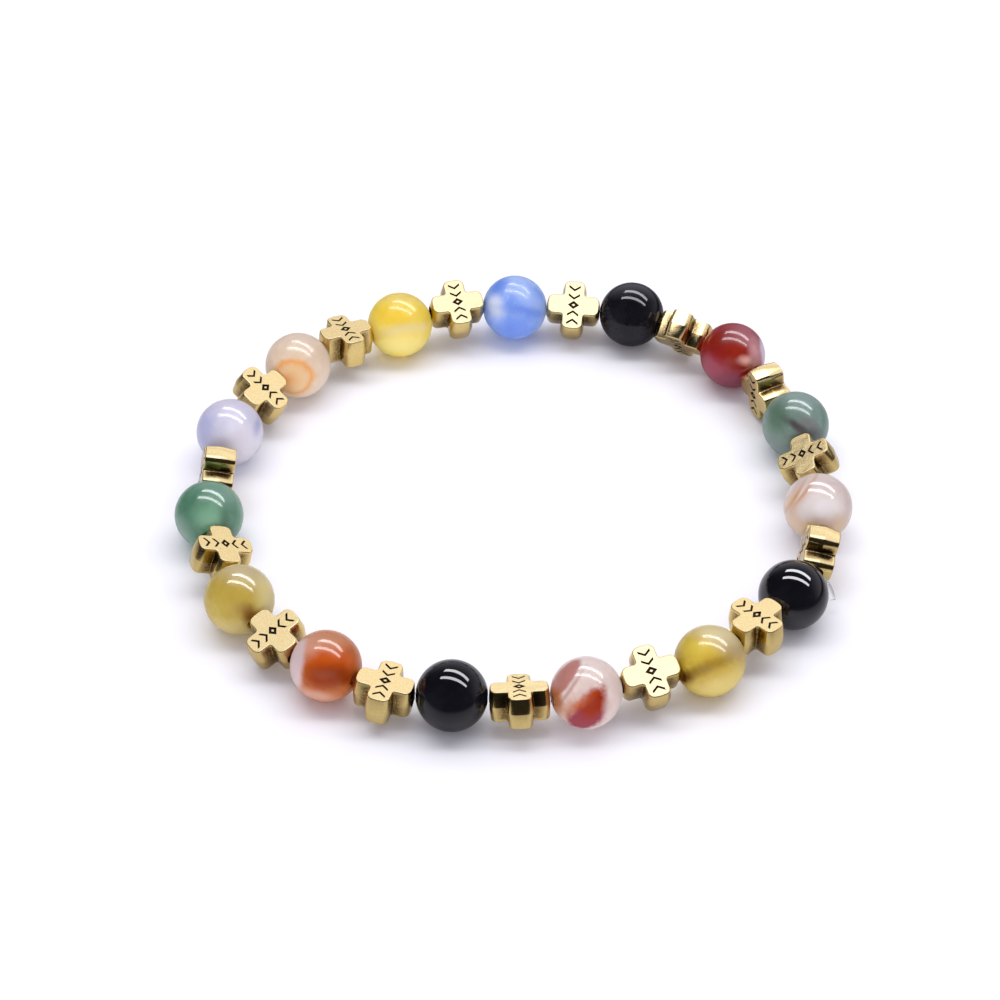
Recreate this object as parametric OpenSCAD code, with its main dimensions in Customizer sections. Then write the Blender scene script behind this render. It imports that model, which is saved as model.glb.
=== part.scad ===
// Stretch bracelet of round stone beads with a small metal cross between each two.
// The loop lies flat. Origin: middle of the loop, on the surface that the beads rest on. +Z is up.

/* [Beads] */
// Diameter of a round stone bead
bead_d = 7; // [6:0.5:10]
// Diameter of the hole drilled through a bead
bead_hole_d = 1.3; // [0.9:0.1:1.6]
// Depth and width of the chamfer at the mouths of that hole
hole_chamfer = 0.15; // [0.05:0.05:0.3]

/* [Crosses] */
// Length of both bars of a cross, tip to tip
cross_span = 5.55; // [5:0.05:5.6]
// Width of both bars
bar_w = 2.35; // [1.8:0.05:3]
// Thickness of a cross
cross_t = 3.1; // [2:0.1:4]
// Radius of the bulging end of an arm
tip_r = 2.6; // [2:0.1:5]
// Radius of the corners of an arm's end
corner_r = 0.7; // [0.3:0.05:1]
// Radius of the fillets where the bars meet
fillet_r = 0.3; // [0.1:0.05:0.6]
// Diameter of the hole along the bar that is threaded
cross_hole_d = 1.5; // [1.4:0.05:1.7]

/* [Cut ornament on the crosses] */
// Distance between two neighbouring marks
mark_pitch = 0.88; // [0.7:0.02:1]
// Size of a mark across the bar
mark_h = 0.95; // [0.5:0.05:1.3]
// Size of a mark along the bar
mark_w = 0.56; // [0.3:0.02:0.8]
// Width of the open lozenge in the middle
lozenge_w = 0.76; // [0.6:0.02:1]
// Width of a cut line
mark_line = 0.17; // [0.1:0.01:0.25]
// Depth of a cut line
mark_depth = 0.12; // [0.05:0.01:0.2]

/* [Loop] */
// Length of thread that a cross takes up between its two beads
cross_pitch = 6; // [5:0.1:8]
// Extra length left for the knot
knot_room = 0.5; // [0:0.1:1.5]
// Number of the cross that the knot follows, counted from 0
knot_after = 4; // [0:1:14]
// Direction of the first bead's far end seen from the middle, degrees
start_turn = 97.5; // [0:0.5:360]
// How much the loop departs from a circle, as shares of its radius: oval, three-cornered, four-cornered
oval = 0.033; // [0:0.001:0.1]
three = 0.012; // [0:0.001:0.05]
four = 0.018; // [0:0.001:0.05]
// Directions of those three shapes, degrees
oval_turn = 20; // [-90:1:90]
three_turn = -50; // [-60:1:60]
four_turn = -38; // [-45:1:45]

/* [Elastic cord] */
// Diameter of the elastic
cord_d = 0.5; // [0.3:0.1:0.8]
// Diameter of the knot
knot_d = 1; // [0.6:0.1:1]

/* [Hidden] */

// A row for each bead, clockwise from the blue one, and for the cross that follows it.
// roll: turn of the cross about the thread, 0 with its faces level, degrees
// swing, tilt: how far the cross points off its stretch of thread, sideways and upwards, degrees
// out, up, slide: how far it hangs off the middle of that stretch, millimetres
// columns: colour, roll, swing, tilt, out, up, slide
LINKS = [
    ["#6c92dc", -29, 0, -2, -0.25, -0.30, -0.04],
    ["#17171b", 56, 4, 2, -0.45, -0.14, -0.09],
    ["#8e1c22", 85, -4, 4, -0.45, -0.24, 0.05],
    ["#7f9a94", -29, -3, -2, -0.40, 0.30, -0.02],
    ["#e0cdc4", -79, 7, -3, 0.42, -0.22, -0.10],
    ["#1b1b20", -2, -3, 1, -0.45, 0.45, -0.02],
    ["#c2a83c", 19, -1, -4, -0.30, 0.20, 0.04],
    ["#c98f8c", -20, 0, -2, 0.25, -0.25, -0.02],
    ["#1d1d22", -3, 2, 4, 0.45, -0.45, 0.04],
    ["#c45f1c", 16, -6, 3, -0.10, -0.40, -0.02],
    ["#c4ab46", -20, 0, -1, -0.45, 0.25, 0],
    ["#4f8f74", 78, 8, 0, -0.43, 0.10, -0.08],
    ["#c4c6e4", -26, -4, -4, -0.30, 0.15, -0.02],
    ["#e8b48c", 5, -6, -4, 0.05, 0, -0.02],
    ["#ecca4a", -19, 0, -1, 0.10, 0.45, 0]
];
COLOUR = 0;
ROLL = 1;
SWING = 2;
TILT = 3;
OUT = 4;
UP = 5;
SLIDE = 6;

gold = "#d8b56a";
clear = "#e6e6ea";
count = len(LINKS);
bead_r = bead_d / 2;
cord_r = cord_d / 2;
up_axis = [0, 0, 1];
smooth = 64;
// cutters run this much past the faces that they open
past = 0.5;

// Loop: a closed curve in polar form, sampled once round to give the angle at each length
samples = 720;
function bulge(a) = 1 + oval * cos(2 * (a - oval_turn)) + three * cos(3 * (a - three_turn))
    + four * cos(4 * (a - four_turn));
function on_curve(a) = bulge(a) * [cos(a), sin(a)];
function sample_angle(i) = start_turn - 360 * i / samples;
function step_length(i) = norm(on_curve(sample_angle(i + 1)) - on_curve(sample_angle(i)));
angle_at_length = [
    for (i = 0, run = 0; i <= samples; run = run + step_length(i), i = i + 1) [run, sample_angle(i)]
];
loop_length = count * (bead_d + cross_pitch) + knot_room;
loop_r = loop_length / angle_at_length[samples][0];

// Contact points: bead k reaches from contact 2k to 2k + 1, the cross after it from there to the next bead
function length_to(k) = ceil(k / 2) * bead_d + floor(k / 2) * cross_pitch
    + (k > 2 * knot_after + 1 ? knot_room : 0);
function contact_flat(k) = loop_r * on_curve(lookup(length_to(k) / loop_r, angle_at_length));
function bead_flat(k) = (contact_flat(2 * k) + contact_flat(2 * k + 1)) / 2;
bead_x = [for (k = [0:count - 1]) bead_flat(k)[0]];
bead_y = [for (k = [0:count - 1]) bead_flat(k)[1]];
middle = [max(bead_x) + min(bead_x), max(bead_y) + min(bead_y)] / 2;
function lift(p) = [p[0] - middle[0], p[1] - middle[1], bead_r];
function contact(k) = lift(contact_flat(k));
function bead_at(k) = lift(bead_flat(k));

// Crosses: direction of each one's stretch of thread, and the place where the cross sits on it
function unit(v) = v / norm(v);
function along(k) = unit(contact(2 * k + 2) - contact(2 * k + 1));
function heading(k) = atan2(along(k)[1], along(k)[0]);
function outwards(k) = cross(up_axis, along(k));
function cross_at(k) = contact(2 * k + 1) + along(k) * (cross_pitch / 2 + LINKS[k][SLIDE])
    + outwards(k) * LINKS[k][OUT] + up_axis * LINKS[k][UP];
function cross_turn(k) = [-LINKS[k][ROLL], -LINKS[k][TILT], heading(k) + LINKS[k][SWING]];
function bore_along(k) = let (yaw = cross_turn(k)[2], rise = LINKS[k][TILT])
    [cos(rise) * cos(yaw), cos(rise) * sin(yaw), sin(rise)];
function cross_end(k, side) = cross_at(k) + bore_along(k) * side * cross_span / 2;

// Bead holes: each one points from the end of the cross before it to the start of the cross after it
function before(k) = (k + count - 1) % count;
function hole_along(k) = unit(cross_end(k, -1) - cross_end(before(k), 1));
function hole_turn(k) = let (d = hole_along(k))
    [0, -asin(d[2]), atan2(d[1], d[0])];

// Elastic: two points for each bead, in the gaps at its ends, shared between the two holes that meet there
hole_share = 0.6;
function between(from, to) = from + (to - from) * hole_share;
function cord_in(k) = between(cross_end(before(k), 1), bead_at(k) - hole_along(k) * bead_r);
function cord_out(k) = between(cross_end(k, -1), bead_at(k) + hole_along(k) * bead_r);
cord_path = [for (k = [0:count - 1]) each [cord_in(k), cord_out(k)]];

// Knot and its cut end, which runs out of the gap and down beside the next bead
knot_gap = 0.1;
knot_at = cord_in(knot_after + 1) + along(knot_after) * knot_gap;
// columns: outwards, ahead along the loop, up; millimetres from the knot
TAIL = [[0, 0, 0], [0.9, 0, -0.1], [1.9, 0.75, -0.5], [2.45, 1.35, -1.45]];
tail_path = [
    for (step = TAIL) knot_at + outwards(knot_after) * step[0] + along(knot_after) * step[1] + up_axis * step[2]
];
cord_sides = 12;
cord_circle = [for (s = [0:cord_sides - 1]) cord_r * [cos(360 * s / cord_sides), sin(360 * s / cord_sides)]];

// Tube along a path: a ring of points at each point of the path, square to the way there and on
function ring_points(at, ahead) = let (side = unit(cross(up_axis, ahead)), high = cross(ahead, side))
    [for (c = cord_circle) at + side * c[0] + high * c[1]];
function way_on(path, closed, i) = let (n = len(path))
    closed
        ? unit(unit(path[(i + 1) % n] - path[i]) + unit(path[i] - path[(i + n - 1) % n]))
        : unit(path[min(i + 1, n - 1)] - path[max(i - 1, 0)]);
function tube_walls(rings) = [
    for (i = [0:rings - 1], s = [0:cord_sides - 1])
        let (a = i * cord_sides, b = (i + 1) * cord_sides, t = (s + 1) % cord_sides)
            each [[a + s, b + t, a + t], [a + s, b + s, b + t]]
];
function wrapped(faces, points) = [for (face = faces) [for (p = face) p % points]];

module tube(path, closed) {
    n = len(path);
    points = [for (i = [0:n - 1]) each ring_points(path[i], way_on(path, closed, i))];
    start = [for (s = [0:cord_sides - 1]) s];
    end = [for (s = [1:cord_sides]) n * cord_sides - s];
    faces = closed ? wrapped(tube_walls(n), len(points)) : concat(tube_walls(n - 1), [start, end]);
    polyhedron(points, faces, convexity = 10);
}

// One bar of a cross: a straight stretch, a round corner at each side of its ends and a bulging tip
module bar_outline() {
    tip_centre = cross_span / 2 - tip_r;
    corner_y = bar_w / 2 - corner_r;
    corner_x = tip_centre + sqrt(pow(tip_r - corner_r, 2) - pow(corner_y, 2));
    tip_angle = atan2(corner_y, corner_x - tip_centre);
    reach = 2 * tip_r;
    square([2 * corner_x, bar_w], center = true);
    for (end = [0, 180])
        rotate(end) {
            for (side = [-1, 1])
                translate([corner_x, side * corner_y])
                    circle(r = corner_r, $fn = smooth);
            intersection() {
                translate([tip_centre, 0])
                    circle(r = tip_r, $fn = 4 * smooth);
                polygon([
                    [tip_centre, 0],
                    [tip_centre + reach * cos(tip_angle), -reach * sin(tip_angle)],
                    [tip_centre + reach * cos(tip_angle), reach * sin(tip_angle)]
                ]);
            }
        }
}

module cross_outline() {
    bar_outline();
    rotate(90)
        bar_outline();
    for (quarter = [0:90:270])
        rotate(quarter)
            translate([bar_w / 2, bar_w / 2])
                difference() {
                    square(fillet_r);
                    translate([fillet_r, fillet_r])
                        circle(r = fillet_r, $fn = smooth);
                }
}

// Marks: an open lozenge in the middle and two chevrons on each side that point at it
module chevron() {
    half = mark_h / 2;
    polygon([
        [-half, mark_w / 2], [0, -mark_w / 2 + mark_line], [half, mark_w / 2],
        [half, mark_w / 2 - mark_line], [0, -mark_w / 2], [-half, mark_w / 2 - mark_line]
    ]);
}

module lozenge() {
    high = mark_h / 2;
    wide = lozenge_w / 2;
    inner_share = 1 - mark_line * norm([high, wide]) / (high * wide);
    difference() {
        polygon([[-high, 0], [0, -wide], [high, 0], [0, wide]]);
        polygon(inner_share * [[-high, 0], [0, -wide], [high, 0], [0, wide]]);
    }
}

module marks() {
    lozenge();
    for (end = [0, 180], place = [1, 2])
        rotate(end)
            translate([0, place * mark_pitch])
                chevron();
}

module bead(k) {
    mouth = sqrt(pow(bead_r, 2) - pow(bead_hole_d / 2, 2));
    chamfer_h = hole_chamfer + past;
    color(LINKS[k][COLOUR])
        translate(bead_at(k))
            rotate(hole_turn(k))
                rotate([0, 90, 0])
                    difference() {
                        sphere(d = bead_d, $fn = smooth);
                        cylinder(d = bead_hole_d, h = bead_d + 2 * past, center = true, $fn = smooth);
                        for (side = [0, 180])
                            rotate([side, 0, 0])
                                translate([0, 0, mouth - hole_chamfer])
                                    cylinder(
                                        r1 = bead_hole_d / 2, r2 = bead_hole_d / 2 + chamfer_h,
                                        h = chamfer_h, $fn = smooth
                                    );
                    }
}

module cross_bead(k) {
    color(gold)
        translate(cross_at(k))
            rotate(cross_turn(k))
                difference() {
                    linear_extrude(cross_t, center = true)
                        cross_outline();
                    rotate([0, 90, 0])
                        cylinder(d = cross_hole_d, h = cross_span + 2 * past, center = true, $fn = smooth);
                    for (side = [0, 180])
                        rotate([side, 0, 0])
                            translate([0, 0, cross_t / 2 - mark_depth])
                                linear_extrude(mark_depth + past)
                                    marks();
                }
}

module elastic_cord() {
    color(clear) {
        tube(cord_path, true);
        tube(tail_path, false);
        translate(knot_at)
            sphere(d = knot_d, $fn = cord_sides);
    }
}

bead(0);  // bead_blue
bead(1);  // bead_black_back
bead(2);  // bead_red
bead(3);  // bead_sea_green
bead(4);  // bead_pale_pink
bead(5);  // bead_black_right
bead(6);  // bead_olive_right
bead(7);  // bead_red_white
bead(8);  // bead_black_front
bead(9);  // bead_orange
bead(10);  // bead_olive_left
bead(11);  // bead_jade
bead(12);  // bead_lavender
bead(13);  // bead_peach
bead(14);  // bead_yellow
cross_bead(0);  // cross_01
cross_bead(1);  // cross_02
cross_bead(2);  // cross_03
cross_bead(3);  // cross_04
cross_bead(4);  // cross_05
cross_bead(5);  // cross_06
cross_bead(6);  // cross_07
cross_bead(7);  // cross_08
cross_bead(8);  // cross_09
cross_bead(9);  // cross_10
cross_bead(10);  // cross_11
cross_bead(11);  // cross_12
cross_bead(12);  // cross_13
cross_bead(13);  // cross_14
cross_bead(14);  // cross_15
elastic_cord();
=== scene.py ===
"""Looks of a beaded bracelet: fifteen stone beads and fifteen gold crosses on a ring of clear elastic."""

import logging
import math
from dataclasses import dataclass, field
from enum import Enum

import bmesh
import bpy
from mathutils import Matrix, Vector


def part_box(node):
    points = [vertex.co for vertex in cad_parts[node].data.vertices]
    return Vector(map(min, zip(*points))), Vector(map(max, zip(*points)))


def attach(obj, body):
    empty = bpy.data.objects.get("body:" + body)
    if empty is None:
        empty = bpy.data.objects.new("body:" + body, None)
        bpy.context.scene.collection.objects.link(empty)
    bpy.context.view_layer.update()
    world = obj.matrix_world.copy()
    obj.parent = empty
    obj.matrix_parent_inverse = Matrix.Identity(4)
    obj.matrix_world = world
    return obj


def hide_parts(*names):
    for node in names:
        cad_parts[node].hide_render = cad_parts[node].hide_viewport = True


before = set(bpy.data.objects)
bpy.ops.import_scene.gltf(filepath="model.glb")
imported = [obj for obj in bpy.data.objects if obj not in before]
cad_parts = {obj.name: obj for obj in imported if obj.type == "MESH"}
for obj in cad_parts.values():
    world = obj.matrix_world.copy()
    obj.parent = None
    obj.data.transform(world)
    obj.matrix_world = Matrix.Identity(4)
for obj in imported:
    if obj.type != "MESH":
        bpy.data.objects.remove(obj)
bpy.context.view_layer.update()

log = logging.getLogger("bracelet")

MM = 0.001
X_AXIS, Y_AXIS, Z_AXIS = Vector((1, 0, 0)), Vector((0, 1, 0)), Vector((0, 0, 1))
FULL_TURN = 2 * math.pi
MERGE = 1e-7
STONE_DEPTH = 1.05
STONE_IOR = 1.54
LIGHTEST = 0.97
Pair = tuple[float, float]
Triple = tuple[float, float, float]
Piece = bpy.types.Object
Material = bpy.types.Material
Shape = bmesh.types.BMesh
Node = bpy.types.Node
Socket = bpy.types.NodeSocket
Given = bpy.types.NodeOutputs


def linear(text: str, depth: float = 1.0) -> tuple[float, float, float, float]:
    """Turns a screen colour such as "d9a441" into the linear colour that a shader takes.

    Args:
        text: six hexadecimal digits, red first.
        depth: how much of its light is kept.

    Returns:
        Red, green, blue and an opaque alpha.
    """
    parts = [int(text[i:i + 2], 16) / 255 for i in (0, 2, 4)]
    light = [depth * (p / 12.92 if p <= 0.04045 else ((p + 0.055) / 1.055) ** 2.4) for p in parts]
    return (*(min(part, LIGHTEST) for part in light), 1.0)


# Shader nodes

@dataclass
class Net:
    """Adds nodes to one node tree and joins them."""

    tree: bpy.types.NodeTree

    def add(self, kind: str, inputs: dict | None = None, **settings: object) -> Node:
        """Adds a node.

        Args:
            kind: the node's Blender type.
            inputs: a value or another node's socket for each input, by name or number.
            settings: the node's own properties.

        Returns:
            The new node.
        """
        node = self.tree.nodes.new(kind)
        for name, setting in settings.items():
            setattr(node, name, setting)
        self.feed(node, inputs or {})
        return node

    def feed(self, node: Node, inputs: dict) -> None:
        """Sets or joins a node's inputs.

        Args:
            node: the node.
            inputs: a value or another node's socket for each input, by name or number.
        """
        for key, value in inputs.items():
            if isinstance(value, Socket):
                self.tree.links.new(value, node.inputs[key])
            else:
                node.inputs[key].default_value = value

    def place(self) -> Socket:
        """Gives the place on the piece, in its own coordinates."""
        return self.add("ShaderNodeTexCoord").outputs["Object"]

    def mirrored(self) -> Socket:
        """Gives 1 to the rays that a polish mirrors, and 0 to all others."""
        rays = self.add("ShaderNodeLightPath").outputs
        return self.times(rays["Is Glossy Ray"], rays["Is Reflection Ray"])

    def math(self, operation: str, *values: float | Socket) -> Socket:
        """Adds a Math node and returns its result."""
        return self.add("ShaderNodeMath", dict(enumerate(values)), operation=operation).outputs[0]

    def times(self, one: Socket, other: float | Socket) -> Socket:
        """Multiplies two values."""
        return self.math("MULTIPLY", one, other)

    def vector(self, operation: str, *values: Vector | tuple | Socket) -> Node:
        """Adds a Vector Math node."""
        return self.add("ShaderNodeVectorMath", dict(enumerate(values)), operation=operation)

    def mix(self, share: Socket, under: tuple | Socket, over: tuple | Socket) -> Socket:
        """Adds a colour Mix node that lets a share of the upper colour show over the lower one."""
        return self.add("ShaderNodeMix", {0: share, 6: under, 7: over}, data_type="RGBA").outputs[2]

    def fade(self, value: Socket, start: float | Socket, end: float | Socket) -> Socket:
        """Adds a smooth step that is 0 at start and 1 at end."""
        inputs = {"Value": value, "From Min": start, "From Max": end}
        return self.add("ShaderNodeMapRange", inputs, interpolation_type="SMOOTHSTEP").outputs["Result"]

    def noise(self, place: Socket, scale: float | Socket, detail: float, roughness: float) -> Socket:
        """Adds a noise texture and returns its grey value."""
        inputs = {"Vector": place, "Scale": scale, "Detail": detail, "Roughness": roughness}
        return self.add("ShaderNodeTexNoise", inputs).outputs[0]


class Kind(Enum):
    """What a group's socket carries."""

    VALUE = "NodeSocketFloat"
    VECTOR = "NodeSocketVector"
    COLOUR = "NodeSocketColor"


class Effect:
    """A shader node group that several materials share, with the names of its sockets by their kind."""

    name: str
    takes: dict[Kind, str]
    gives: dict[Kind, str]

    def __init__(self) -> None:
        """Makes the group, its sockets and what is in it."""
        self.tree = bpy.data.node_groups.new(self.name, "ShaderNodeTree")
        for way, sockets in (("INPUT", self.takes), ("OUTPUT", self.gives)):
            for kind, names in sockets.items():
                for name in names.split():
                    self.tree.interface.new_socket(name, in_out=way, socket_type=kind.value)
        net = Net(self.tree)
        net.add("NodeGroupOutput", self.wire(net, net.add("NodeGroupInput").outputs))

    def wire(self, net: Net, given: Given) -> dict[str, Socket]:
        """Builds what is in the group; each effect has its own.

        Args:
            net: the group's nodes.
            given: the group's inputs.

        Returns:
            A socket for each output.
        """
        raise NotImplementedError

    def place(self, net: Net, **inputs: object) -> Node:
        """Places the group in a material, with a value or a socket for each input."""
        return net.add("ShaderNodeGroup", inputs, node_tree=self.tree)


class Cloudiness(Effect):
    """Milky clouds of a lighter and a deeper tone all through a stone."""

    name = "stone clouds"
    takes = {Kind.VECTOR: "Stone", Kind.COLOUR: "Pale Deep", Kind.VALUE: "Scale"}
    gives = {Kind.COLOUR: "Colour"}
    fineness = 5.0
    fine_share = 0.28
    edges = (0.34, 0.66)

    def wire(self, net: Net, given: Given) -> dict[str, Socket]:
        """Mixes the two tones by noise of two sizes.

        Args:
            net: the group's nodes.
            given: the group's inputs.

        Returns:
            A socket for each output.
        """
        broad = net.noise(given["Stone"], given["Scale"], 3.0, 0.55)
        fine = net.noise(given["Stone"], net.times(given["Scale"], self.fineness), 2.0, 0.6)
        both = net.math("ADD", net.times(broad, 1 - self.fine_share), net.times(fine, self.fine_share))
        return {"Colour": net.mix(net.fade(both, *self.edges), given["Deep"], given["Pale"])}


class Inclusion(Effect):
    """A patch, or with a wall a thin shell, of another colour in a stone."""

    name = "stone inclusion"
    takes = {
        Kind.VECTOR: "Stone Centre Reach", Kind.COLOUR: "Under Over", Kind.VALUE: "Turn Soft Ragged Wall Amount",
    }
    gives = {Kind.COLOUR: "Colour"}
    rag_scale = 3.4

    def wire(self, net: Net, given: Given) -> dict[str, Socket]:
        """Masks an ellipsoid, or the shell round it, with a ragged edge.

        Args:
            net: the group's nodes.
            given: the group's inputs.

        Returns:
            A socket for each output.
        """
        offset = net.vector("SUBTRACT", given["Stone"], given["Centre"]).outputs[0]
        inputs = {"Vector": offset, "Angle": net.times(given["Turn"], -1.0)}
        turned = net.add("ShaderNodeVectorRotate", inputs, rotation_type="Z_AXIS").outputs[0]
        scaled = net.vector("DIVIDE", turned, given["Reach"]).outputs[0]
        away = net.vector("LENGTH", scaled).outputs[1]
        rough = net.noise(given["Stone"], self.rag_scale, 3.0, 0.6)
        shift = net.times(net.math("SUBTRACT", rough, 0.5), given["Ragged"])
        solid = net.math("SUBTRACT", net.math("MULTIPLY_ADD", shift, 2.0, away), 1.0)
        shell = net.math("SUBTRACT", net.math("ABSOLUTE", solid), given["Wall"])
        hollow = net.math("GREATER_THAN", given["Wall"], 0.0)
        depth = net.add("ShaderNodeMix", {0: hollow, 2: solid, 3: shell}, data_type="FLOAT").outputs[0]
        mask = net.fade(depth, given["Soft"], net.times(given["Soft"], -1.0))
        return {"Colour": net.mix(net.times(mask, given["Amount"]), given["Under"], given["Over"])}


class Unevenness(Effect):
    """The slight waves and pits that polishing or casting leaves, as a height."""

    name = "surface unevenness"
    takes = {Kind.VECTOR: "Place", Kind.VALUE: "Waves Pits Pitting"}
    gives = {Kind.VALUE: "Height Grime"}
    pit_edges = (0.42, 0.62)
    grime_edges = (0.62, 0.4)

    def wire(self, net: Net, given: Given) -> dict[str, Socket]:
        """Adds slow waves and a share of fine pits.

        Args:
            net: the group's nodes.
            given: the group's inputs.

        Returns:
            A socket for each output.
        """
        waves = net.noise(given["Place"], given["Waves"], 1.0, 0.4)
        pits = net.noise(given["Place"], given["Pits"], 3.0, 0.65)
        sunk = net.times(net.fade(pits, *self.pit_edges), given["Pitting"])
        return {"Height": net.math("ADD", waves, sunk), "Grime": net.fade(pits, *self.grime_edges)}


# Finishes

@dataclass(frozen=True)
class Patch:
    """A patch of colour in a stone, as the camera sees it.

    Places and sizes are in bead radii, across and up in the picture, and the turn is in degrees.
    Its amount and softness follow the colour. A wall makes it a thin shell.
    """

    across: float
    up: float
    wide: float
    high: float
    colour: str
    amount: float = 0.8
    soft: float = 0.9
    turn: float = 0.0
    ragged: float = 0.25
    wall: float = 0.0
    depth: float = 0.6
    sunk: float = 0.85


@dataclass(frozen=True)
class StoneFinish:
    """A translucent stone: its clouds, its patches and how much light goes through."""

    name: str
    slot: str
    pale: str
    deep: str
    patches: tuple[Patch, ...] = ()
    cloud_scale: float = 1.6
    clear: float = 0.36
    haze: float = 0.3
    body: float = 0.35
    polish: float = 0.6
    blur: float = 0.05
    pool: float = 1.0
    waves: float = 1.3
    pits: float = 14.0
    pitting: float = 0.02
    relief: float = 0.08
    relief_depth: float = 0.08 * MM


@dataclass(frozen=True)
class GoldFinish:
    """Pale antique gold plate, tarnished in the notches between the arms."""

    colour: str = "e8d08c"
    warm: str = "d8b468"
    dark: str = "4c2e0e"
    roughness: float = 0.14
    waves: float = 1 / (1.1 * MM)
    pits: float = 1 / (0.12 * MM)
    pitting: float = 0.07
    warmth: float = 0.5
    relief: float = 0.4
    relief_depth: float = 0.06 * MM
    notch_from: Pair = (1.0 * MM, 1.2 * MM)
    notch_to: Pair = (2.6 * MM, 1.5 * MM)
    notch_top: Pair = (1.55 * MM, 1.2 * MM)
    blotches: Pair = (0.35, 0.6)


@dataclass(frozen=True)
class GrainedFinish:
    """A finish of two tones in fine grains, with plain settings for the rest."""

    name: str
    tones: tuple[str, str]
    grains: float
    detail: float
    plain: dict[str, float]


PATINA = GrainedFinish(
    "dark patina", ("100a05", "3c2c16"), GoldFinish.pits, 0.6, {"Roughness": 0.8, "Specular IOR Level": 0.2},
)
CLEAR = GrainedFinish(
    "clear elastic", ("eeeef2", "fdfdff"), 900.0, 0.5, {"Roughness": 0.12, "IOR": 1.45, "Transmission Weight": 1.0},
)


@dataclass(frozen=True)
class FloorFinish:
    """A plain pale floor. Its colour in mirrored rays is painted shade: a polish shows it darker the further it lies
    from the middle.
    """

    colour: str = "f6f6fa"
    # Painted shade: the dark tone that the floor takes where a polish mirrors it.
    mirror_shade: str = "403c3c"
    fade: Pair = (22 * MM, 75 * MM)
    # Share of the painted shade in mirrored rays: 0.15 near the middle, up to 1.0 far away.
    mirror_shade_share: Pair = (0.85, 0.15)
    plain = {"Roughness": 0.9, "Specular IOR Level": 0.0}


@dataclass(frozen=True)
class Viewpoint:
    """Where the picture is taken from."""

    lens: float = 112.65
    sensor: float = 36.0
    elevation: float = math.radians(42.585)
    roll: float = math.radians(0.783)
    distance: float = 320.4 * MM
    target: Triple = (-1.486 * MM, -1.737 * MM, 3.5 * MM)
    clip: Pair = (0.01, 50.0)

    def axes(self) -> Matrix:
        """Gives the picture's right, up and backward directions.

        Returns:
            A 3 x 3 matrix with the three directions as its columns.
        """
        level_up = Vector((0, math.sin(self.elevation), math.cos(self.elevation)))
        right = math.cos(self.roll) * X_AXIS + math.sin(self.roll) * level_up
        up = -math.sin(self.roll) * X_AXIS + math.cos(self.roll) * level_up
        return Matrix((right, up, right.cross(up))).transposed()

    def build(self) -> None:
        """Adds the camera and makes it the scene's."""
        data = bpy.data.cameras.new("camera")
        data.lens, data.sensor_width = self.lens, self.sensor
        data.clip_start, data.clip_end = self.clip
        camera = add_object("camera", data)
        axes = self.axes()
        place = Vector(self.target) + self.distance * axes.col[2]
        camera.matrix_world = Matrix.Translation(place) @ axes.to_4x4()
        bpy.context.scene.camera = camera


# Mesh helpers

def add_object(name: str, data: bpy.types.ID) -> Piece:
    """Puts a mesh, a light or a camera into the scene.

    Args:
        name: the object's name.
        data: what it shows.

    Returns:
        The object.
    """
    thing = bpy.data.objects.new(name, data)
    bpy.context.scene.collection.objects.link(thing)
    return thing


def collect(name: str, pieces: list[Piece]) -> bpy.types.Collection:
    """Names the pieces that a light falls on.

    Args:
        name: the collection's name.
        pieces: the pieces.

    Returns:
        The collection.
    """
    found = bpy.data.collections.new(name)
    for piece in pieces:
        found.objects.link(piece)
    return found


def verts_in(geom: list) -> list[bmesh.types.BMVert]:
    """Picks the vertices out of what an operator made."""
    return [part for part in geom if isinstance(part, bmesh.types.BMVert)]


def new_piece(name: str, bm: Shape, materials: list[Material]) -> Piece:
    """Turns a bmesh into an object at the origin.

    Args:
        name: the piece's name.
        bm: its mesh, already in place; it is freed.
        materials: its materials, in the order of their numbers.

    Returns:
        The object.
    """
    mesh = bpy.data.meshes.new(name)
    bm.to_mesh(mesh)
    bm.free()
    for material in materials:
        mesh.materials.append(material)
    return add_object(name, mesh)


def ease(bm: Shape, geom: list, offset: float, affect: str, steps: int) -> None:
    """Rounds edges or corners.

    Args:
        bm: the mesh.
        geom: the edges, or the vertices of the corners.
        offset: how far the rounding reaches.
        affect: EDGES or VERTICES.
        steps: the segments of the rounding.
    """
    bmesh.ops.bevel(
        bm, geom=geom, offset=offset, offset_type="OFFSET", affect=affect, segments=steps, profile=0.5, material=-1,
    )


def shade(mesh: bpy.types.Mesh, sharp_from: float) -> None:
    """Smooths a mesh, but for the edges that turn by more than sharp_from degrees."""
    mesh.shade_smooth()
    mesh.set_sharp_from_angle(angle=math.radians(sharp_from))


def basis(along: Vector, towards: Vector, place: Vector) -> Matrix:
    """Gives the placing of a piece whose own Z goes along a direction.

    Args:
        along: where its Z axis goes.
        towards: roughly where its X axis goes.
        place: where its origin goes.

    Returns:
        The 4 x 4 placing.
    """
    z = along.normalized()
    x = (towards - towards.dot(z) * z).normalized()
    turn = Matrix((x, z.cross(x), z)).transposed().to_4x4()
    return Matrix.Translation(place) @ turn


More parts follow.
